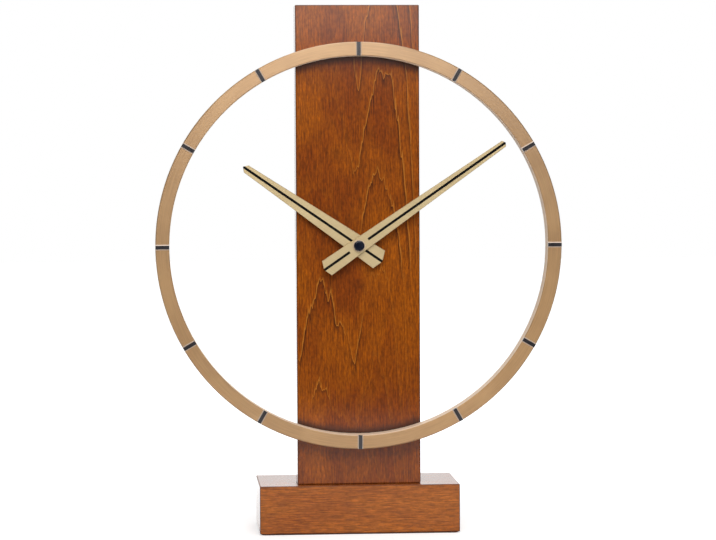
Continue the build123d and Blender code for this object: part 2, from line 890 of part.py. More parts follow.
hour_hand, hour_hand_lines = make_hand(
    (hour_tip_reach, hour_tip_shoulder, hour_tip_half_width),
    (hour_tail_reach, hour_tail_shoulder, hour_tail_half_width),
    hour_line_start,
    hour_plate_back_y,
    hour_spigot_radius,
    hour_rest_angle,
)
minute_hand, minute_hand_lines = make_hand(
    (minute_tip_reach, minute_tip_shoulder, minute_tip_half_width),
    (minute_tail_reach, minute_tail_shoulder, minute_tail_half_width),
    minute_line_start,
    minute_plate_back_y,
    minute_spigot_radius,
    minute_rest_angle,
)

nodes = {
    "base_block": make_base_block(),
    "base_felt": make_base_felt(),
    "column": make_column(),
    "column_dowels": make_column_dowels(),
    "column_screws": make_column_screws(),
    "dial_ring": make_dial_ring(),
    "ring_screws": make_ring_screws(),
    "hour_hand": hour_hand,
    "hour_hand_line": hour_hand_lines,
    "hour_hand_bush": make_hand_bush(hour_bush_back_y, hour_bush_front_y, hour_spigot_radius, pipe_radius),
    "minute_hand": minute_hand,
    "minute_hand_line": minute_hand_lines,
    "minute_hand_bush": make_hand_bush(
        minute_bush_back_y, minute_bush_front_y, minute_spigot_radius, shaft_radius
    ),
    "hand_cap": make_hand_cap(),
    "centre_bushing": make_centre_bushing(),
    "bushing_washer": make_bushing_washer(),
    "bushing_nut": make_bushing_nut(),
    "hour_wheel": make_hour_wheel(),
    "minute_arbor": make_minute_arbor(),
    "minute_wheel": make_minute_wheel(),
    "third_wheel": make_third_wheel(),
    "intermediate_wheel": make_intermediate_wheel(),
    "rotor_pinion": make_rotor_pinion(),
    "rotor_magnet": make_rotor_magnet(),
    "stator": make_stator(),
    "coil_core": make_coil_core(),
    "coil_bobbin": make_coil_bobbin(),
    "coil_winding": make_coil_winding(),
    "circuit_board": make_circuit_board(),
    "clock_chip": make_clock_chip(),
    "quartz_crystal": make_quartz_crystal(),
    "battery": make_battery(),
    "contact_positive": make_contact_positive(),
    "contact_negative": make_contact_negative(),
    "movement_case": make_movement_case(),
    "movement_cover": make_movement_cover(),
    "cover_screws": make_cover_screws(),
    "set_knob": make_set_knob(),
}
for marker in range(1, marker_count + 1):
    nodes[f"hour_marker_{marker:02d}"] = make_hour_marker(marker)

os.makedirs("parts", exist_ok=True)
for name, shape in nodes.items():
    pieces = shape if isinstance(shape, list) else [shape]
    solids = [solid for piece in pieces for solid in piece.solids()]
    export_step(Compound(children=solids), f"parts/{name}.step")
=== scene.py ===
import json
import math

import bpy
from mathutils import Matrix, Vector


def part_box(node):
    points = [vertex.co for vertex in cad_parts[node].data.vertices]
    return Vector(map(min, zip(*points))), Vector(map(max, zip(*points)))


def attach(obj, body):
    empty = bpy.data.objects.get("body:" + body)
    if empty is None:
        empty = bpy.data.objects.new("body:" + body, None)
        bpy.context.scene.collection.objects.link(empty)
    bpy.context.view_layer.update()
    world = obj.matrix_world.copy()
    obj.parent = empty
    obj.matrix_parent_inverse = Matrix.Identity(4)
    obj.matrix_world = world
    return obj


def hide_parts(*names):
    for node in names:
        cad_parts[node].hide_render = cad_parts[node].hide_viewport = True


# Looks of a table clock: a lacquered board on a foot, an open ring dial, two hands and a quartz movement.
# Lengths are in metres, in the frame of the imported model. X runs to the right, Y to the back and Z up.

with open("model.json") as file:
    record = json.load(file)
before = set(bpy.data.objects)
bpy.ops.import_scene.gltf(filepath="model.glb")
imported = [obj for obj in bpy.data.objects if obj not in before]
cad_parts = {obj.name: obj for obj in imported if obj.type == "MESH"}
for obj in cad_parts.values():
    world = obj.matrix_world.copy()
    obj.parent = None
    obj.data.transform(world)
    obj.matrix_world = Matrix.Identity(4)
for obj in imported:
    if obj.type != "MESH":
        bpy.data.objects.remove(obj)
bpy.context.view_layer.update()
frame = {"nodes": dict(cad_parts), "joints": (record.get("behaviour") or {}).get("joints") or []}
nodes = frame["nodes"]
bpy.ops.object.select_all(action="DESELECT")

MM = 0.001

# Places read from the frame
shaft = Vector(frame["joints"][0]["pos_m"])
board_low, board_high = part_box("column")
foot_low, foot_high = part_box("base_block")
ring_low, ring_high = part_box("dial_ring")
foot_middle = (foot_low + foot_high) / 2
dial_middle = (shaft.x, ring_low.y, shaft.z)
ring_radius = (ring_high.x - ring_low.x) / 2

# Width of the ring's bar, which its box doesn't give
ring_width = 11.6 * MM
ring_inner = ring_radius - ring_width

# Time at rest, as angles clockwise from twelve
minute_angle = math.radians(55.3)
hour_angle = math.radians(304.6)


def shade(red, green, blue):
    """A colour given as it looks on a screen, from 0 to 255, as the shader's linear values."""
    linear = []
    for part in (red, green, blue):
        share = part / 255
        linear.append(share / 12.92 if share <= 0.04045 else ((share + 0.055) / 1.055) ** 2.4)
    return (*linear, 1.0)


# Node building


def feed(tree, socket, value):
    """Links a socket to another, or gives it a plain value."""
    if isinstance(value, bpy.types.NodeSocket):
        tree.links.new(value, socket)
    elif value is not None:
        socket.default_value = value


def add(tree, kind, inputs=None, **settings):
    node = tree.nodes.new(kind)
    for name, value in settings.items():
        setattr(node, name, value)
    for name, value in (inputs or {}).items():
        feed(tree, node.inputs[name], value)
    return node


def calc(tree, operation, first, second=None, third=None):
    node = add(tree, "ShaderNodeMath", operation=operation)
    for socket, value in zip(node.inputs, (first, second, third)):
        feed(tree, socket, value)
    return node.outputs[0]


def span(tree, value, low, high, to_low=0.0, to_high=1.0, smooth=True):
    """The value carried from one range to another, clamped."""
    kind = "SMOOTHSTEP" if smooth else "LINEAR"
    ends = {"Value": value, "From Min": low, "From Max": high, "To Min": to_low, "To Max": to_high}
    return add(tree, "ShaderNodeMapRange", ends, interpolation_type=kind).outputs[0]


def noise(tree, place, grain, detail=2.0, shift=(0, 0, 0)):
    """Noise about one half; grain is the size of its spots along each axis."""
    scale = [1 / size for size in grain]
    moved = add(tree, "ShaderNodeMapping", {"Vector": place, "Location": shift, "Scale": scale})
    inputs = {"Vector": moved.outputs[0], "Scale": 1.0, "Detail": detail}
    return add(tree, "ShaderNodeTexNoise", inputs).outputs[0]


def blend(tree, share, first, second, kind="MIX"):
    node = add(tree, "ShaderNodeMix", data_type="RGBA", blend_type=kind)
    feed(tree, node.inputs["Factor"], share)
    feed(tree, node.inputs[6], first)
    feed(tree, node.inputs[7], second)
    return node.outputs[2]


def uneven(tree, mask, low, high):
    """A value that goes from low to high with a mask about one half."""
    return span(tree, mask, 0.3, 0.7, low, high)


def vary(tree, colour, mask, contrast):
    """The colour made darker and lighter by a mask about one half."""
    return blend(tree, 1.0, colour, uneven(tree, mask, 1 - contrast, 1 + contrast), "MULTIPLY")


def lay_over(tree, colour, mask, strength, tone):
    """The colour with a tone laid over it where the mask is strong."""
    return blend(tree, span(tree, mask, 0, 1, 0, strength), colour, tone)


def object_place(tree):
    return add(tree, "ShaderNodeTexCoord").outputs["Object"]


def turned_place(tree, middle, turn):
    """Object coordinates about a point, turned by angles about X, Y and Z."""
    start = [-part for part in middle]
    moved = add(tree, "ShaderNodeMapping", {"Vector": object_place(tree), "Location": start})
    return add(tree, "ShaderNodeMapping", {"Vector": moved.outputs[0], "Rotation": turn}).outputs[0]


def about_axis(tree, point):
    """Distance from an axis along Y through a point, and the offsets from that point."""
    about = turned_place(tree, point, (0, 0, 0))
    axes = add(tree, "ShaderNodeSeparateXYZ", {"Vector": about}).outputs
    flat = add(tree, "ShaderNodeCombineXYZ", {"X": axes["X"], "Y": axes["Z"], "Z": 0.0}).outputs[0]
    reach = add(tree, "ShaderNodeVectorMath", operation="LENGTH")
    feed(tree, reach.inputs[0], flat)
    return reach.outputs["Value"], axes


def bump(tree, height, depth):
    return add(tree, "ShaderNodeBump", {"Height": height, "Distance": depth, "Strength": 1.0}).outputs[0]


def start_group(name, inputs, outputs):
    tree = bpy.data.node_groups.new(name, "ShaderNodeTree")
    for label, kind in inputs:
        tree.interface.new_socket(label, in_out="INPUT", socket_type="NodeSocket" + kind)
    for label in outputs:
        tree.interface.new_socket(label, in_out="OUTPUT", socket_type="NodeSocketFloat")
    return tree, tree.nodes.new("NodeGroupInput").outputs, tree.nodes.new("NodeGroupOutput").inputs


def use_group(tree, group, **inputs):
    node = tree.nodes.new("ShaderNodeGroup")
    node.node_tree = group
    for name, value in inputs.items():
        feed(tree, node.inputs[name.replace("_", " ").title()], value)
    return node.outputs


def start_material(name, **constants):
    material = bpy.data.materials.new(name)
    material.use_nodes = True
    tree = material.node_tree
    surface = tree.nodes["Principled BSDF"]
    for label, value in constants.items():
        surface.inputs[label.replace("_", " ").title().replace("Ior", "IOR")].default_value = value
    return material, tree, surface.inputs


# Shared effects


ring_inputs = [
    "Heart",
    "Lean",
    "Flame Width",
    "Flame Length",
    "Wander",
    "Second Heart",
    "Second Width",
    "Second Rise",
]


def make_ring_field():
    """How many growth rings lie below a point of a plain-sawn board with two hearts.

    The grain runs along Z.
    """
    seam_softness = 0.35
    ring_depth = 14 * MM
    raggedness = 0.55
    tree, entry, leave = start_group(
        "growth rings", [("Place", "Vector")] + [(label, "Float") for label in ring_inputs], ["Ring"]
    )
    place = entry["Place"]
    axes = add(tree, "ShaderNodeSeparateXYZ", {"Vector": place}).outputs
    heart = calc(tree, "ADD", entry["Heart"], calc(tree, "MULTIPLY", axes["Z"], entry["Lean"]))
    across = calc(tree, "DIVIDE", calc(tree, "SUBTRACT", axes["X"], heart), entry["Flame Width"])
    aside = calc(tree, "SUBTRACT", axes["X"], entry["Second Heart"])
    beside = calc(tree, "DIVIDE", aside, entry["Second Width"])
    second = calc(tree, "ADD", calc(tree, "MULTIPLY", beside, beside), entry["Second Rise"])
    arch = calc(tree, "SMOOTH_MIN", calc(tree, "MULTIPLY", across, across), second, seam_softness)
    climb = calc(tree, "DIVIDE", axes["Z"], entry["Flame Length"])
    depth = calc(tree, "DIVIDE", axes["Y"], ring_depth)
    broad = noise(tree, place, (27 * MM, 27 * MM, 150 * MM), detail=1.0)
    ragged = noise(tree, place, (5 * MM, 5 * MM, 75 * MM), detail=2.0, shift=(3, 1, 7))
    wander = calc(tree, "MULTIPLY", calc(tree, "SUBTRACT", broad, 0.5), entry["Wander"])
    ring = calc(tree, "ADD", calc(tree, "ADD", arch, climb), calc(tree, "ADD", depth, wander))
    feed(tree, leave["Ring"], calc(tree, "ADD", ring, calc(tree, "MULTIPLY", ragged, raggedness)))
    return tree


def make_wood_grain(field):
    """Fine flame lines where the rings change, the glow and shade beside them, fibres, pores and stain."""
    tree, entry, leave = start_group(
        "wood grain",
        [("Place", "Vector")] + [(label, "Float") for label in [*ring_inputs, "First End", "Second Top"]],
        ["Line", "Glow", "Shade", "Fibre", "Fleck", "Pore", "Stain"],
    )
    place = entry["Place"]
    step = 0.3 * MM

    def ring_at(shift):
        moved = add(tree, "ShaderNodeVectorMath", operation="ADD")
        feed(tree, moved.inputs[0], place)
        moved.inputs[1].default_value = shift
        node = tree.nodes.new("ShaderNodeGroup")
        node.node_tree = field
        feed(tree, node.inputs["Place"], moved.outputs[0])
        for label in ring_inputs:
            feed(tree, node.inputs[label], entry[label])
        return node.outputs["Ring"]

    ring = ring_at((0, 0, 0))
    slope = 0.0
    for shift in ((step, 0, 0), (0, 0, step)):
        part = calc(tree, "DIVIDE", calc(tree, "SUBTRACT", ring_at(shift), ring), step)
        slope = calc(tree, "ADD", slope, calc(tree, "MULTIPLY", part, part))
    slope = calc(tree, "SQRT", slope)
    saw = calc(tree, "FRACT", ring)
    above = calc(tree, "DIVIDE", saw, slope)
    below = calc(tree, "DIVIDE", calc(tree, "SUBTRACT", 1.0, saw), slope)
    axes = add(tree, "ShaderNodeSeparateXYZ", {"Vector": place}).outputs
    aside = calc(tree, "ABSOLUTE", calc(tree, "SUBTRACT", axes["X"], entry["Heart"]))
    beside = calc(tree, "ABSOLUTE", calc(tree, "SUBTRACT", axes["X"], entry["Second Heart"]))
    past = calc(tree, "SUBTRACT", entry["First End"], axes["Z"])
    under = calc(tree, "SUBTRACT", entry["Second Top"], axes["Z"])
    first_side = span(tree, aside, 12 * MM, 36 * MM, 1.0, 0.15)
    first_end = span(tree, past, 0.0, 30 * MM, 1.0, 0.25)
    first = calc(tree, "MULTIPLY", first_side, first_end)
    second_side = span(tree, beside, 26 * MM, 36 * MM, 1.0, 0.0)
    second_top = span(tree, under, 0.0, 15 * MM)
    second_end = span(tree, under, 95 * MM, 120 * MM, 1.0, 0.2)
    second = calc(tree, "MULTIPLY", second_side, calc(tree, "MULTIPLY", second_top, second_end))
    near = calc(tree, "MAXIMUM", first, second)
    faint = noise(tree, place, (16 * MM, 16 * MM, 70 * MM), detail=2.0, shift=(9, 4, 2))
    strength = calc(tree, "MULTIPLY", span(tree, faint, 0.24, 0.46), near)
    line = span(tree, above, 0.5 * MM, 1.1 * MM, 1.0, 0.0)
    feed(tree, leave["Line"], calc(tree, "MULTIPLY", line, strength))
    feed(tree, leave["Glow"], span(tree, above, 0.0, 9 * MM, 1.0, 0.0))
    feed(tree, leave["Shade"], calc(tree, "MULTIPLY", span(tree, below, 0.0, 3 * MM, 1.0, 0.0), strength))
    fibre = noise(tree, place, (1.0 * MM, 1.0 * MM, 14 * MM), detail=4.0, shift=(5, 8, 3))
    feed(tree, leave["Fibre"], fibre)
    fleck = noise(tree, place, (1.5 * MM, 1.5 * MM, 4 * MM), detail=3.0, shift=(2, 3, 8))
    feed(tree, leave["Fleck"], fleck)
    pore = noise(tree, place, (0.5 * MM, 0.5 * MM, 3.2 * MM), detail=2.0, shift=(1, 6, 4))
    feed(tree, leave["Pore"], span(tree, pore, 0.54, 0.72))
    cloud = noise(tree, place, (30 * MM, 30 * MM, 75 * MM), detail=3.0, shift=(22.5, 10.5, 16.5))
    feed(tree, leave["Stain"], span(tree, cloud, 0.34, 0.66))
    return tree


def make_box_edge():
    """Strong along the edges of a box, fading over Reach."""
    tree, entry, leave = start_group(
        "box edge",
        [("Place", "Vector"), ("Middle", "Vector"), ("Half Size", "Vector"), ("Reach", "Float")],
        ["Edge"],
    )
    offset = add(tree, "ShaderNodeVectorMath", operation="SUBTRACT")
    feed(tree, offset.inputs[0], entry["Place"])
    feed(tree, offset.inputs[1], entry["Middle"])
    flipped = add(tree, "ShaderNodeVectorMath", operation="ABSOLUTE")
    feed(tree, flipped.inputs[0], offset.outputs[0])
    room = add(tree, "ShaderNodeVectorMath", operation="SUBTRACT")
    feed(tree, room.inputs[0], entry["Half Size"])
    feed(tree, room.inputs[1], flipped.outputs[0])
    axes = add(tree, "ShaderNodeSeparateXYZ", {"Vector": room.outputs[0]}).outputs
    least = calc(tree, "MINIMUM", axes["X"], axes["Y"])
    most = calc(tree, "MAXIMUM", axes["X"], axes["Y"])
    second = calc(tree, "MAXIMUM", least, calc(tree, "MINIMUM", most, axes["Z"]))
    share = calc(tree, "DIVIDE", second, entry["Reach"])
    feed(tree, leave["Edge"], span(tree, share, 0.0, 1.0, 1.0, 0.0))
    return tree


def make_handling():
    """Uneven gloss from handling, and a fine surface grain."""
    tree, entry, leave = start_group(
        "handling",
        [("Place", "Vector"), ("Smudge Size", "Float"), ("Grain Size", "Float")],
        ["Smudge", "Grain"],
    )
    for label, size, detail in (("Smudge", "Smudge Size", 4.0), ("Grain", "Grain Size", 2.0)):
        scale = calc(tree, "DIVIDE", 1.0, entry[size])
        inputs = {"Vector": entry["Place"], "Scale": scale, "Detail": detail}
        feed(tree, leave[label], add(tree, "ShaderNodeTexNoise", inputs).outputs[0])
    return tree


def make_brushing():
    """Fine drawn lines that run along X; Place is in metres."""
    tree, entry, leave = start_group(
        "brushing", [("Place", "Vector"), ("Line Width", "Float"), ("Line Length", "Float")], ["Streak"]
    )
    axes = add(tree, "ShaderNodeSeparateXYZ", {"Vector": entry["Place"]}).outputs
    along = calc(tree, "DIVIDE", axes["X"], entry["Line Length"])
    across = calc(tree, "DIVIDE", axes["Y"], entry["Line Width"])
    beside = calc(tree, "DIVIDE", axes["Z"], entry["Line Width"])
    lines = add(tree, "ShaderNodeCombineXYZ", {"X": along, "Y": across, "Z": beside}).outputs[0]
    inputs = {"Vector": lines, "Scale": 1.0, "Detail": 3.0}
    feed(tree, leave["Streak"], add(tree, "ShaderNodeTexNoise", inputs).outputs[0])
    return tree


wood_grain = make_wood_grain(make_ring_field())
box_edge = make_box_edge()
handling = make_handling()
brushing = make_brushing()


# Wood


def lacquered_wood(name, place_of, low, high, tones, fibre_contrast, fleck_contrast, painted_shade=None, **figure):
    """Stained wood under satin lacquer; tones are dark, light, flame line and edge."""
    material, tree, surface = start_material(
        name, roughness=0.5, specular_ior_level=0.1, coat_roughness=0.1, coat_ior=1.5
    )
    grain = use_group(tree, wood_grain, place=place_of(tree), **figure)
    dark, light, line, edge = tones
    colour = blend(tree, grain["Stain"], dark, light)
    colour = lay_over(tree, colour, grain["Glow"], 0.35, light)
    colour = lay_over(tree, colour, grain["Shade"], 0.65, edge)
    colour = vary(tree, colour, grain["Fibre"], fibre_contrast)
    colour = vary(tree, colour, grain["Fleck"], fleck_contrast)
    colour = lay_over(tree, colour, grain["Line"], 0.6, line)
    colour = lay_over(tree, colour, grain["Pore"], 0.4, edge)
    rim = use_group(
        tree,
        box_edge,
        place=object_place(tree),
        middle=(low + high) / 2,
        half_size=(high - low) / 2,
        reach=1.3 * MM,
    )
    colour = lay_over(tree, colour, rim["Edge"], 0.75, edge)
    # Painted shade: the board darkened towards the ring's inner wall, where shade falls.
    if painted_shade:
        colour = blend(tree, painted_shade(tree), colour, edge)
    feed(tree, surface["Base Color"], colour)
    feed(tree, surface["Coat Weight"], span(tree, rim["Edge"], 0, 1, 1.0, 0.2))
    wear = use_group(tree, handling, place=object_place(tree), smudge_size=45 * MM, grain_size=1.2 * MM)
    feed(tree, surface["Roughness"], uneven(tree, wear["Smudge"], 0.38, 0.52))
    feed(tree, surface["Normal"], bump(tree, grain["Fibre"], 0.03 * MM))
    return material


def board_place(tree):
    """The board's grain is laid out from a point on its face, high above the shaft."""
    pattern_rise = 168 * MM
    return turned_place(tree, (0, board_low.y, shaft.z + pattern_rise), (0, 0, 0))


def ring_painted_shade(tree):
    """Painted shade on the board's face: strong where it meets the ring's inner wall, fading inwards."""
    radius, axes = about_axis(tree, (shaft.x, board_low.y, shaft.z))
    inward = span(tree, radius, ring_inner - 8 * MM, ring_inner, 0.0, 0.9)
    outward = span(tree, radius, ring_inner + 3 * MM, ring_inner + 6 * MM, 1.0, 0.0)
    front = span(tree, axes["Y"], 0.0, 1 * MM, 1.0, 0.0)
    return calc(tree, "MULTIPLY", inward, calc(tree, "MULTIPLY", outward, front))


def foot_place(tree):
    return turned_place(tree, foot_middle, (0, math.pi / 2, 0))


board_tones = (shade(132, 59, 0), shade(160, 81, 0), shade(208, 130, 42), shade(52, 18, 0))
foot_tones = (shade(158, 80, 20), shade(184, 102, 28), shade(204, 124, 44), shade(66, 26, 8))
board_wood = lacquered_wood(
    "lacquered board",
    board_place,
    board_low,
    board_high,
    board_tones,
    fibre_contrast=0.32,
    fleck_contrast=0.22,
    # Painted shade on the board next to the ring's inner wall.
    painted_shade=ring_painted_shade,
    heart=22 * MM,
    lean=0.03,
    flame_width=19 * MM,
    flame_length=84 * MM,
    wander=0.9,
    second_heart=-28 * MM,
    second_width=31 * MM,
    second_rise=0.19,
    first_end=-172 * MM,
    second_top=-185 * MM,
)
foot_wood = lacquered_wood(
    "lacquered foot",
    foot_place,
    foot_low,
    foot_high,
    foot_tones,
    fibre_contrast=0.34,
    fleck_contrast=0.14,
    heart=60 * MM,
    lean=0.02,
    flame_width=24 * MM,
    flame_length=400 * MM,
    wander=1.2,
    second_heart=-200 * MM,
    second_width=24 * MM,
    second_rise=9.0,
    first_end=-1.0,
    second_top=-1.0,
)


def plain_wood():
    material, tree, surface = start_material("plain dowel wood", roughness=0.6)
    streak = noise(tree, object_place(tree), (0.6 * MM, 0.6 * MM, 12 * MM), detail=3.0)
    feed(tree, surface["Base Color"], blend(tree, streak, shade(190, 150, 105), shade(222, 188, 142)))
    feed(tree, surface["Normal"], bump(tree, streak, 0.05 * MM))
    return material


# Metal


def dial_angle(tree, axes):
    """Angle clockwise from twelve, from the offsets from the dial's middle."""
    return calc(tree, "ARCTAN2", axes["X"], axes["Z"])


def ring_place(tree):
    """Along the ring and across it, as if it were laid out straight."""
    radius, axes = about_axis(tree, dial_middle)
    along = calc(tree, "MULTIPLY", dial_angle(tree, axes), ring_radius)
    across = calc(tree, "ADD", radius, axes["Y"])
    return add(tree, "ShaderNodeCombineXYZ", {"X": along, "Y": across, "Z": 0.0}).outputs[0]


def lathe_place(tree):
    """Across the lines that a lathe leaves about the shaft."""
    radius, axes = about_axis(tree, shaft)
    across = calc(tree, "ADD", radius, axes["Y"])
    return add(tree, "ShaderNodeCombineXYZ", {"X": 0.0, "Y": across, "Z": 0.0}).outputs[0]


def shaft_place(tree):
    return turned_place(tree, shaft, (0, 0, 0))


def drawn_lines(tree, place, line_width, line_length):
    """Drawn lines, and the same lines mixed with the smudges of handling."""
    drawn = use_group(tree, brushing, place=place, line_width=line_width, line_length=line_length)
    streak = drawn["Streak"]
    wear = use_group(tree, handling, place=object_place(tree), smudge_size=30 * MM, grain_size=0.4 * MM)
    strong = calc(tree, "MULTIPLY", streak, 0.6)
    weak = calc(tree, "MULTIPLY", wear["Smudge"], 0.4)
    return streak, calc(tree, "ADD", strong, weak)


def drawn_metal(name, place_of, dark, light, roughness, line_width, line_length, depth):
    """Metal with fine drawn lines in colour, gloss and relief."""
    material, tree, surface = start_material(name, metallic=1.0)
    streak, mixed = drawn_lines(tree, place_of(tree), line_width, line_length)
    feed(tree, surface["Base Color"], blend(tree, span(tree, mixed, 0.35, 0.65), dark, light))
    feed(tree, surface["Roughness"], uneven(tree, mixed, roughness - 0.05, roughness + 0.06))
    feed(tree, surface["Normal"], bump(tree, streak, depth))
    return material


def hand_gold(name, angle):
    """Pale gold, drawn along a hand that stands at an angle from twelve."""

    def hand_place(tree):
        return turned_place(tree, shaft, (0, -(math.pi / 2 - angle), 0))

    return drawn_metal(
        name,
        hand_place,
        shade(210, 187, 142),
        shade(221, 200, 157),
        roughness=0.5,
        line_width=0.25 * MM,
        line_length=30 * MM,
        depth=0.002 * MM,
    )


def turned_metal(name, dark, light, roughness):
    """Metal turned on a lathe about the shaft."""
    return drawn_metal(name, lathe_place, dark, light, roughness, 0.15 * MM, 10 * MM, 0.01 * MM)


def ground_metal(name, dark, light, roughness):
    """Flat metal, ground level from side to side."""
    return drawn_metal(name, shaft_place, dark, light, roughness, 0.12 * MM, 4 * MM, 0.008 * MM)


def satin_ring():
    """Satin gold, drawn round the ring, with the inner wall painted a pale cream non-metal as a painted
    highlight.
    """
    material, tree, surface = start_material(
        "satin ring gold",
        specular_ior_level=0.1,
        anisotropic=0.35,
        anisotropic_rotation=0.25,
        coat_roughness=0.28,
        coat_ior=2.1,
    )
    tangent = add(tree, "ShaderNodeTangent", direction_type="RADIAL", axis="Y").outputs[0]
    feed(tree, surface["Tangent"], tangent)
    mixed = drawn_lines(tree, ring_place(tree), 0.5 * MM, 32 * MM)[1]
    gold = blend(tree, span(tree, mixed, 0.35, 0.65), shade(188, 143, 90), shade(210, 166, 110))
    radius = about_axis(tree, dial_middle)[0]
    # Painted highlight: the inner wall is given the pale colour it shows where the light catches it.
    wall = span(tree, radius, ring_inner + 0.1 * MM, ring_inner + 0.4 * MM, 1.0, 0.0)
    feed(tree, surface["Base Color"], blend(tree, wall, gold, shade(252, 226, 198)))
    feed(tree, surface["Metallic"], span(tree, wall, 0.0, 1.0, 0.8, 0.0))
    feed(tree, surface["Coat Weight"], span(tree, wall, 0.0, 1.0, 1.0, 0.2))
    feed(tree, surface["Roughness"], uneven(tree, mixed, 0.54, 0.62))
    return material


def marker_bar():
    """A charcoal face between bright cut bevels."""
    material, tree, surface = start_material(
        "charcoal marker", coat_weight=1.0, coat_roughness=0.1, coat_ior=1.6
    )
    radius, axes = about_axis(tree, dial_middle)
    hours = 12
    hour_step = 2 * math.pi / hours
    half_face = 1.5 * MM
    blur = 0.04 * MM
    turns = calc(tree, "DIVIDE", dial_angle(tree, axes), hour_step)
    within = calc(tree, "FRACT", calc(tree, "ADD", turns, hours + 0.5))
    swing = calc(tree, "MULTIPLY", calc(tree, "ABSOLUTE", calc(tree, "SUBTRACT", within, 0.5)), hour_step)
    cut = span(tree, calc(tree, "MULTIPLY", swing, radius), half_face - blur, half_face + blur)
    wear = use_group(tree, handling, place=object_place(tree), smudge_size=6 * MM, grain_size=0.3 * MM)
    paint = blend(tree, uneven(tree, wear["Smudge"], 0.0, 1.0), shade(28, 24, 29), shade(40, 35, 41))
    feed(tree, surface["Base Color"], blend(tree, cut, paint, shade(226, 204, 184)))
    feed(tree, surface["Metallic"], span(tree, cut, 0.0, 1.0, 0.0, 0.3))
    feed(tree, surface["Roughness"], uneven(tree, wear["Smudge"], 0.3, 0.42))
    feed(tree, surface["Normal"], bump(tree, wear["Grain"], 0.004 * MM))
    return material


ring_gold = satin_ring()
marker_paint = marker_bar()
minute_gold = hand_gold("minute hand gold", minute_angle)
hour_gold = hand_gold("hour hand gold", hour_angle)
bush_gold = turned_metal("turned bush gold", shade(222, 196, 166), shade(236, 212, 184), 0.4)
brass = turned_metal("turned brass", shade(186, 150, 82), shade(214, 180, 104), 0.3)
zinc = ground_metal("zinc plate", shade(158, 160, 164), shade(190, 192, 194), 0.34)
nickel = ground_metal("nickel strip", shade(176, 174, 168), shade(206, 203, 196), 0.24)
magnet_metal = ground_metal("ground magnet", shade(84, 84, 88), shade(108, 108, 112), 0.4)


# Paint, plastic and the small pieces


def coated(name, dark, light, roughness, grain_size, depth, **constants):
    """An even colour with slight mottling, a fine moulded or painted grain and uneven gloss."""
    material, tree, surface = start_material(name, **constants)
    wear = use_group(tree, handling, place=object_place(tree), smudge_size=14 * MM, grain_size=grain_size)
    feed(tree, surface["Base Color"], blend(tree, uneven(tree, wear["Smudge"], 0.0, 1.0), dark, light))
    feed(tree, surface["Roughness"], uneven(tree, wear["Smudge"], roughness - 0.06, roughness + 0.06))
    feed(tree, surface["Normal"], bump(tree, wear["Grain"], depth))
    return material


line_paint = coated(
    "black hand line", shade(6, 5, 5), shade(12, 10, 10), 0.6, 0.3 * MM, 0.004 * MM, specular_ior_level=0.1
)
cap_paint = coated("blue-black cap", shade(8, 14, 30), shade(16, 24, 42), 0.18, 0.2 * MM, 0.002 * MM)
case_plastic = coated("black case plastic", shade(24, 24, 26), shade(36, 36, 38), 0.5, 0.5 * MM, 0.03 * MM)
knob_plastic = coated("black knob plastic", shade(30, 30, 32), shade(44, 44, 46), 0.42, 0.4 * MM, 0.02 * MM)
wheel_plastic = coated(
    "white wheel plastic", shade(226, 222, 208), shade(240, 237, 226), 0.4, 0.4 * MM, 0.01 * MM
)
resin = coated("black resin", shade(14, 14, 15), shade(26, 26, 27), 0.25, 0.6 * MM, 0.02 * MM)
sign_ink = coated("pale sign ink", shade(232, 232, 228), shade(242, 242, 238), 0.5, 0.2 * MM, 0.004 * MM)


def smoked_plastic():
    material, tree, surface = start_material(
        "smoked cover plastic", transmission_weight=0.92, ior=1.49, metallic=0.0
    )
    wear = use_group(tree, handling, place=object_place(tree), smudge_size=12 * MM, grain_size=0.5 * MM)
    smoke = blend(tree, wear["Smudge"], shade(206, 206, 209), shade(220, 220, 223))
    feed(tree, surface["Base Color"], smoke)
    feed(tree, surface["Roughness"], uneven(tree, wear["Smudge"], 0.04, 0.1))
    return material


def board_mask():
    """Green solder mask over copper tracks."""
    material, tree, surface = start_material("green solder mask", coat_weight=0.5, coat_roughness=0.15)
    place = object_place(tree)
    tracks = add(
        tree,
        "ShaderNodeTexBrick",
        {"Vector": place, "Scale": 1 / (3 * MM), "Mortar Size": 0.09, "Mortar Smooth": 0.2},
    ).outputs["Fac"]
    wear = use_group(tree, handling, place=place, smudge_size=8 * MM, grain_size=0.2 * MM)
    ground = blend(tree, wear["Smudge"], shade(18, 84, 46), shade(30, 104, 60))
    feed(tree, surface["Base Color"], blend(tree, tracks, ground, shade(64, 140, 82)))
    feed(tree, surface["Roughness"], uneven(tree, wear["Smudge"], 0.3, 0.45))
    feed(tree, surface["Normal"], bump(tree, tracks, 0.04 * MM))
    return material


def cell_sleeve():
    """A plain printed sleeve: dark grey, with a copper band at the positive end and bare metal ends."""
    low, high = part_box("battery")
    material, tree, surface = start_material("cell sleeve", coat_weight=0.6, coat_roughness=0.12)
    place = object_place(tree)
    x = add(tree, "ShaderNodeSeparateXYZ", {"Vector": place}).outputs["X"]
    band_start = low.x + 1.6 * MM
    band_end = low.x + 14 * MM
    sleeve_end = high.x - 0.8 * MM
    fade = 0.15 * MM
    wear = use_group(tree, handling, place=place, smudge_size=16 * MM, grain_size=0.3 * MM)
    grey = blend(tree, wear["Smudge"], shade(44, 48, 54), shade(58, 62, 68))
    colour = blend(tree, span(tree, x, band_end - fade, band_end + fade), shade(196, 128, 78), grey)
    wrap = calc(
        tree,
        "MULTIPLY",
        span(tree, x, band_start - fade, band_start + fade),
        span(tree, x, sleeve_end - fade, sleeve_end + fade, 1.0, 0.0),
    )
    feed(tree, surface["Base Color"], blend(tree, wrap, shade(186, 188, 190), colour))
    feed(tree, surface["Metallic"], span(tree, wrap, 0, 1, 1.0, 0.15))
    feed(tree, surface["Roughness"], uneven(tree, wear["Smudge"], 0.26, 0.36))
    return material


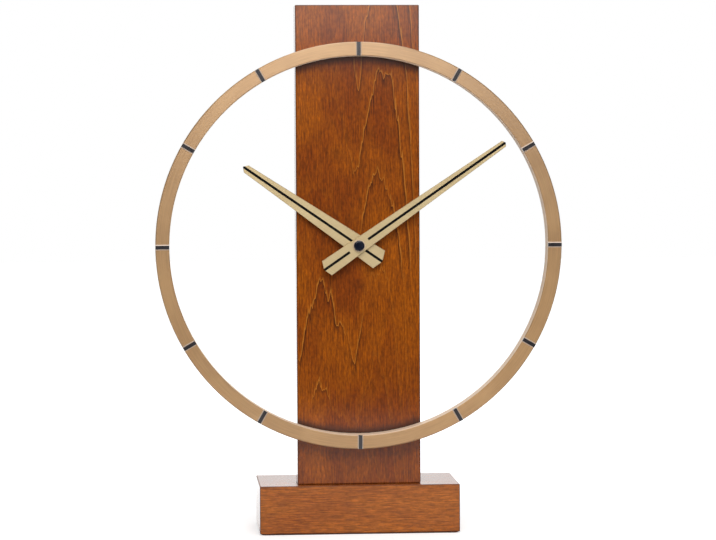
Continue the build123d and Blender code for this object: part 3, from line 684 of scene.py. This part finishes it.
def felt_cloth():
    material, tree, surface = start_material("brown felt", sheen_weight=0.5, sheen_roughness=0.6)
    fuzz = noise(tree, object_place(tree), (0.35 * MM, 0.35 * MM, 0.35 * MM), detail=5.0)
    feed(tree, surface["Base Color"], blend(tree, fuzz, shade(96, 70, 54), shade(134, 104, 84)))
    feed(tree, surface["Roughness"], uneven(tree, fuzz, 0.85, 1.0))
    feed(tree, surface["Normal"], bump(tree, fuzz, 0.3 * MM))
    return material


def copper_wire():
    material, tree, surface = start_material(
        "enamelled copper wire", metallic=1.0, coat_weight=0.8, coat_roughness=0.1
    )
    wear = use_group(tree, handling, place=object_place(tree), smudge_size=2 * MM, grain_size=0.1 * MM)
    feed(tree, surface["Base Color"], blend(tree, wear["Smudge"], shade(168, 84, 48), shade(206, 122, 78)))
    feed(tree, surface["Roughness"], uneven(tree, wear["Smudge"], 0.22, 0.34))
    return material


hour_markers = [f"hour_marker_{number:02d}" for number in range(1, 13)]
finishes = [
    (board_wood, ["column"]),
    (foot_wood, ["base_block"]),
    (plain_wood(), ["column_dowels"]),
    (ring_gold, ["dial_ring"]),
    (marker_paint, hour_markers),
    (minute_gold, ["minute_hand"]),
    (hour_gold, ["hour_hand"]),
    (line_paint, ["minute_hand_line", "hour_hand_line"]),
    (bush_gold, ["minute_hand_bush", "hour_hand_bush"]),
    (cap_paint, ["hand_cap"]),
    (brass, ["centre_bushing", "bushing_nut", "bushing_washer", "minute_arbor"]),
    (zinc, ["column_screws", "ring_screws", "cover_screws"]),
    (nickel, ["stator", "coil_core", "quartz_crystal", "contact_positive", "contact_negative"]),
    (magnet_metal, ["rotor_magnet"]),
    (case_plastic, ["movement_case"]),
    (knob_plastic, ["set_knob"]),
    (smoked_plastic(), ["movement_cover"]),
    (wheel_plastic, ["hour_wheel", "minute_wheel", "third_wheel", "intermediate_wheel"]),
    (wheel_plastic, ["rotor_pinion", "coil_bobbin"]),
    (resin, ["clock_chip"]),
    (board_mask(), ["circuit_board"]),
    (cell_sleeve(), ["battery"]),
]
for material, names in finishes:
    for name in names:
        nodes[name].data.materials.clear()
        nodes[name].data.materials.append(material)


# New pieces


def soften_edges(piece, width, segments):
    soft = piece.modifiers.new("soften", "BEVEL")
    soft.width = width
    soft.segments = segments
    bpy.ops.object.modifier_apply(modifier="soften")


def finish_piece(piece, name, material, body):
    """Puts the piece's place into its mesh, and gives it its name, finish and body."""
    bpy.ops.object.transform_apply(location=True, rotation=True, scale=True)
    piece.name = name
    piece.data.materials.append(material)
    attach(piece, body)
    piece.select_set(False)


def make_felt():
    """The felt sheet under the foot, cut with rounded corners."""
    low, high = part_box("base_felt")
    corner = 3 * MM
    bpy.ops.mesh.primitive_plane_add(size=1, location=((low.x + high.x) / 2, (low.y + high.y) / 2, low.z))
    felt = bpy.context.object
    felt.scale = (high.x - low.x, high.y - low.y, 1)
    bpy.ops.object.transform_apply(location=True, rotation=True, scale=True)
    bpy.ops.object.mode_set(mode="EDIT")
    bpy.ops.mesh.bevel(offset=corner, segments=6, affect="VERTICES")
    bpy.ops.mesh.extrude_region_move(TRANSFORM_OT_translate={"value": (0, 0, high.z - low.z)})
    bpy.ops.mesh.select_all(action="SELECT")
    bpy.ops.mesh.normals_make_consistent(inside=False)
    bpy.ops.object.mode_set(mode="OBJECT")
    soften_edges(felt, 0.25 * MM, segments=3)
    finish_piece(felt, "felt_sheet", felt_cloth(), "stand")
    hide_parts("base_felt")


def make_winding():
    """The coil's outer layer of wire, wound between the bobbin's flanges."""
    low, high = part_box("coil_winding")
    wire = 0.28 * MM
    wire_sides = 6
    steps_a_turn = 24
    turns = int((high.x - low.x) / wire) - 1
    reach = (high.z - low.z) / 2
    start = Vector((low.x + high.x - turns * wire, low.y + high.y, low.z + high.z)) / 2
    bpy.ops.mesh.primitive_circle_add(
        vertices=wire_sides,
        radius=0.48 * wire,
        location=(0, 0, reach - wire / 2),
        rotation=(math.pi / 2, 0, 0),
    )
    coil = bpy.context.object
    bpy.ops.object.transform_apply(location=True, rotation=True, scale=True)
    wind = coil.modifiers.new("wind", "SCREW")
    wind.axis = "X"
    wind.screw_offset = wire
    wind.iterations = turns
    wind.steps = steps_a_turn
    wind.render_steps = steps_a_turn
    bpy.ops.object.modifier_apply(modifier="wind")
    bpy.ops.object.mode_set(mode="EDIT")
    bpy.ops.mesh.select_all(action="SELECT")
    bpy.ops.mesh.fill_holes(sides=wire_sides)
    bpy.ops.mesh.normals_make_consistent(inside=False)
    bpy.ops.object.mode_set(mode="OBJECT")
    bpy.ops.object.shade_smooth_by_angle(angle=math.radians(65))
    coil.location = start
    finish_piece(coil, "coil_turns", copper_wire(), "stand")
    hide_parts("coil_winding")


sign_height = 0.3 * MM


def make_cell_sign(name, place, extruded_sides):
    """A raised sign on the movement's cover: a square whose chosen sides are drawn out into arms."""
    stroke = 0.8 * MM
    arm = 0.8 * MM
    bpy.ops.mesh.primitive_cube_add(size=1, location=place)
    sign = bpy.context.object
    sign.scale = (stroke, sign_height, stroke)
    bpy.ops.object.transform_apply(location=True, rotation=True, scale=True)
    for side in sign.data.polygons:
        side.select = any(side.normal.dot(Vector(way)) > 0.9 for way in extruded_sides)
    bpy.ops.object.mode_set(mode="EDIT")
    bpy.ops.mesh.select_mode(type="FACE")
    bpy.ops.mesh.extrude_faces_move(TRANSFORM_OT_shrink_fatten={"value": arm})
    bpy.ops.mesh.select_all(action="SELECT")
    bpy.ops.mesh.normals_make_consistent(inside=False)
    bpy.ops.object.mode_set(mode="OBJECT")
    soften_edges(sign, 0.05 * MM, segments=2)
    finish_piece(sign, name, sign_ink, "stand")


def make_setting_arrow(back):
    """A raised arrow round the setting knob, pointing the way that moves the hands on."""
    knob_low, knob_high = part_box("set_knob")
    middle = Vector(((knob_low.x + knob_high.x) / 2, back, (knob_low.z + knob_high.z) / 2))
    reach = 6.6 * MM
    stroke = 0.8 * MM
    head_length = 1.7 * MM
    head_share = 3.4
    tip_share = 0.08
    sweep = math.radians(150)
    end = middle + Vector((reach, 0, 0))
    tip = end - Vector((0, 0, head_length))
    bpy.ops.mesh.primitive_plane_add(size=1, location=end)
    arrow = bpy.context.object
    arrow.scale = (stroke, sign_height, 1)
    bpy.ops.object.transform_apply(location=True, rotation=True, scale=True)
    bpy.ops.object.mode_set(mode="EDIT")
    bpy.ops.mesh.select_all(action="SELECT")
    bpy.ops.transform.rotate(value=sweep, orient_axis="Y", center_override=middle)
    bpy.ops.mesh.spin(steps=24, angle=sweep, center=middle, axis=(0, -1, 0))
    bpy.ops.mesh.extrude_region_move(TRANSFORM_OT_translate={"value": (0, 0, 0)})
    bpy.ops.transform.resize(value=(head_share, 1, 1), center_override=end)
    bpy.ops.mesh.extrude_region_move(TRANSFORM_OT_translate={"value": (0, 0, -head_length)})
    bpy.ops.transform.resize(value=(tip_share, 1, 1), center_override=tip)
    bpy.ops.mesh.select_all(action="SELECT")
    bpy.ops.mesh.normals_make_consistent(inside=False)
    bpy.ops.object.mode_set(mode="OBJECT")
    finish_piece(arrow, "setting_arrow", sign_ink, "stand")


def make_cover_signs():
    """Signs that tell how the cell lies and which way the knob sets the hands."""
    cover_low, cover_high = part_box("movement_cover")
    sunk = 0.05 * MM
    back = cover_high.y + sign_height / 2 - sunk
    aside = 18 * MM
    rise = cover_low.z + 2.6 * MM
    level = [(1, 0, 0), (-1, 0, 0)]
    make_cell_sign("plus_sign", (-aside, back, rise), level + [(0, 0, 1), (0, 0, -1)])
    make_cell_sign("minus_sign", (aside, back, rise), level)
    make_setting_arrow(back)


make_felt()
make_winding()
make_cover_signs()


# Stage, light and camera


def make_floor():
    """White to the eye, and dimmer near the foot.

    In reflections it is white only at a low angle, from the clock's middle backwards.
    """
    bpy.ops.mesh.primitive_plane_add(size=6, location=(0, 2, 0))
    floor = bpy.context.object
    floor.name = "floor"
    bpy.ops.object.transform_apply(location=True, rotation=True, scale=True)
    material, tree, surface = start_material("pale floor", roughness=0.9)
    surface["Base Color"].default_value = (0.75, 0.75, 0.75, 1)
    surface["Emission Color"].default_value = (1, 1, 1, 1)
    reach = add(tree, "ShaderNodeVectorMath", operation="LENGTH")
    feed(tree, reach.inputs[0], object_place(tree))
    far = span(tree, reach.outputs["Value"], 0.1, 0.45, 0.55, 1.0)
    ways = add(tree, "ShaderNodeLightPath").outputs
    behind = add(tree, "ShaderNodeSeparateXYZ", {"Vector": object_place(tree)}).outputs["Y"]
    flat = add(tree, "ShaderNodeLayerWeight", {"Blend": 0.5}).outputs["Facing"]
    sheen = calc(tree, "MULTIPLY", span(tree, flat, 0.8, 0.86), span(tree, behind, -0.03, 0.02))
    seen = calc(tree, "MAXIMUM", ways["Is Camera Ray"], calc(tree, "MULTIPLY", ways["Is Glossy Ray"], sheen))
    feed(tree, surface["Emission Strength"], calc(tree, "MULTIPLY", far, seen))
    material.cycles.emission_sampling = "NONE"
    floor.data.materials.append(material)


def make_world():
    """White all round for the eye; dimmer for what lights the clock, and dim behind the camera."""
    world = bpy.data.worlds.new("studio")
    bpy.context.scene.world = world
    world.use_nodes = True
    tree = world.node_tree
    ways = add(tree, "ShaderNodeLightPath").outputs
    direction = add(tree, "ShaderNodeTexCoord").outputs["Generated"]
    axes = add(tree, "ShaderNodeSeparateXYZ", {"Vector": direction}).outputs
    around = span(tree, axes["Y"], -0.9, 0.3, 0.03, 1.0, smooth=False)
    seen = calc(tree, "MAXIMUM", ways["Is Camera Ray"], calc(tree, "MULTIPLY", around, 0.25))
    beside = span(tree, calc(tree, "ABSOLUTE", axes["X"]), 0.1, 0.45, 1.0, 0.3)
    mirrored = calc(tree, "MULTIPLY", ways["Is Glossy Ray"], calc(tree, "MULTIPLY", around, beside))
    strength = calc(tree, "MAXIMUM", seen, mirrored)
    background = tree.nodes["Background"]
    background.inputs["Color"].default_value = (1, 1, 1, 1)
    feed(tree, background.inputs["Strength"], strength)


def make_light(name, place, aim, size, power):
    light = bpy.data.lights.new(name, "AREA")
    light.shape = "RECTANGLE"
    light.size, light.size_y = size
    light.energy = power
    holder = bpy.data.objects.new(name, light)
    holder.location = place
    holder.rotation_mode = "QUATERNION"
    holder.rotation_quaternion = (Vector(aim) - Vector(place)).to_track_quat("-Z", "Y")
    holder.visible_camera = False
    bpy.context.scene.collection.objects.link(holder)


def make_camera():
    """The photograph's view; the focal length and the sensor's width are in millimetres."""
    place = Vector((-0.1757, -2.3565, 0.3329))
    yaw = math.radians(4.313)
    pitch = math.radians(2.772)
    roll = math.radians(-0.27)
    focal_length = 141.05
    sensor_width = 36
    level = math.cos(pitch)
    forward = Vector((level * math.sin(yaw), level * math.cos(yaw), -math.sin(pitch)))
    right = forward.cross(Vector((0, 0, 1))).normalized()
    up = right.cross(forward)
    turn = Matrix((right, up, -forward)).transposed().to_4x4() @ Matrix.Rotation(roll, 4, "Z")
    lens = bpy.data.cameras.new("photograph view")
    lens.sensor_width = sensor_width
    lens.lens = focal_length
    camera = bpy.data.objects.new("photograph view", lens)
    camera.matrix_world = Matrix.Translation(place) @ turn
    bpy.context.scene.collection.objects.link(camera)
    bpy.context.scene.camera = camera


make_floor()
make_world()
make_light("key softbox", place=(-0.08, -1.25, 1.15), aim=(0, 0, 0.3), size=(1.2, 1.0), power=18.5)
make_light("sheen panel", place=(0.2, -3.0, 0.85), aim=(0, 0, 0.4), size=(1.2, 0.7), power=5.3)
make_light("overhead softbox", place=(0, 0, 1.7), aim=(0, 0, 0.3), size=(1.0, 0.8), power=2.5)
make_light("back softbox", place=(0.4, 1.4, 1.2), aim=(0, 0, 0.25), size=(1.0, 0.6), power=7)
make_camera()
bpy.context.scene.view_settings.view_transform = "Standard"
